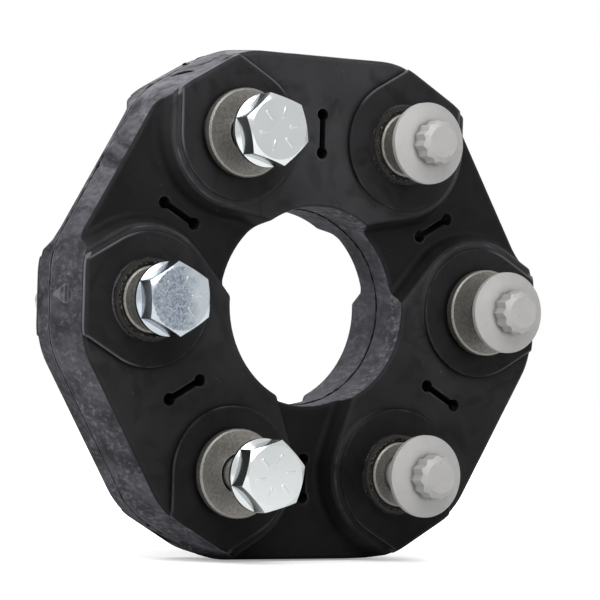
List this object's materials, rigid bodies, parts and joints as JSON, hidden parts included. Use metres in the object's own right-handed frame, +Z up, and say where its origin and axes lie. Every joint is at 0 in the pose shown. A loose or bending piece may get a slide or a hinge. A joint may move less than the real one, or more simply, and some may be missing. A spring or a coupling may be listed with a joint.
{
  "type": "driveshaft flex disc",
  "caption": "Flexible driveshaft coupling: a thick hexagonal rubber disc with raised pads and sunk links, steel bushes through its corners and bolts standing in them.",
  "frame": {"origin": "centre of the bolt circle, in the plane of the rear bush collars where the coupled flange seats", "axes": "+Y along the disc's axis, out of its rear face where the studs stand out; +Z up as the disc stands on its flat side; +X to the right seen from the front"},
  "size_m": [0.146, 0.0832, 0.1392],
  "materials": {
    "rubber": "moulded, matt, dusty on the rim",
    "bush_steel": "fine turned, phosphate grey",
    "guide_ring": "rough, with rubber flash",
    "cord": "wound cord, sealed in the rubber",
    "zinc_bolt": "bright blue zinc plate",
    "coated_bolt": "matt silver flake coat"
  },
  "bodies": {
    "root": {"rubber_body": "rubber", "bush_right": "bush_steel", "bush_top_right": "bush_steel", "bush_top_left": "bush_steel", "bush_left": "bush_steel", "bush_bottom_left": "bush_steel", "bush_bottom_right": "bush_steel", "guide_ring_right_front": "guide_ring", "guide_ring_right_rear": "guide_ring", "guide_ring_top_right_front": "guide_ring", "guide_ring_top_right_rear": "guide_ring", "guide_ring_top_left_front": "guide_ring", "guide_ring_top_left_rear": "guide_ring", "guide_ring_left_front": "guide_ring", "guide_ring_left_rear": "guide_ring", "guide_ring_bottom_left_front": "guide_ring", "guide_ring_bottom_left_rear": "guide_ring", "guide_ring_bottom_right_front": "guide_ring", "guide_ring_bottom_right_rear": "guide_ring", "cord_loop_upper_right": "cord", "cord_loop_upper_left": "cord", "cord_loop_bottom": "cord", "cord_loop_top_front": "cord", "cord_loop_top_rear": "cord", "cord_loop_lower_left_front": "cord", "cord_loop_lower_left_rear": "cord", "cord_loop_lower_right_front": "cord", "cord_loop_lower_right_rear": "cord", "bolt_right": "coated_bolt", "bolt_top_right": "coated_bolt", "bolt_bottom_right": "coated_bolt", "bolt_top_left": "zinc_bolt", "bolt_left": "zinc_bolt", "bolt_bottom_left": "zinc_bolt"}
  },
  "joints": []
}
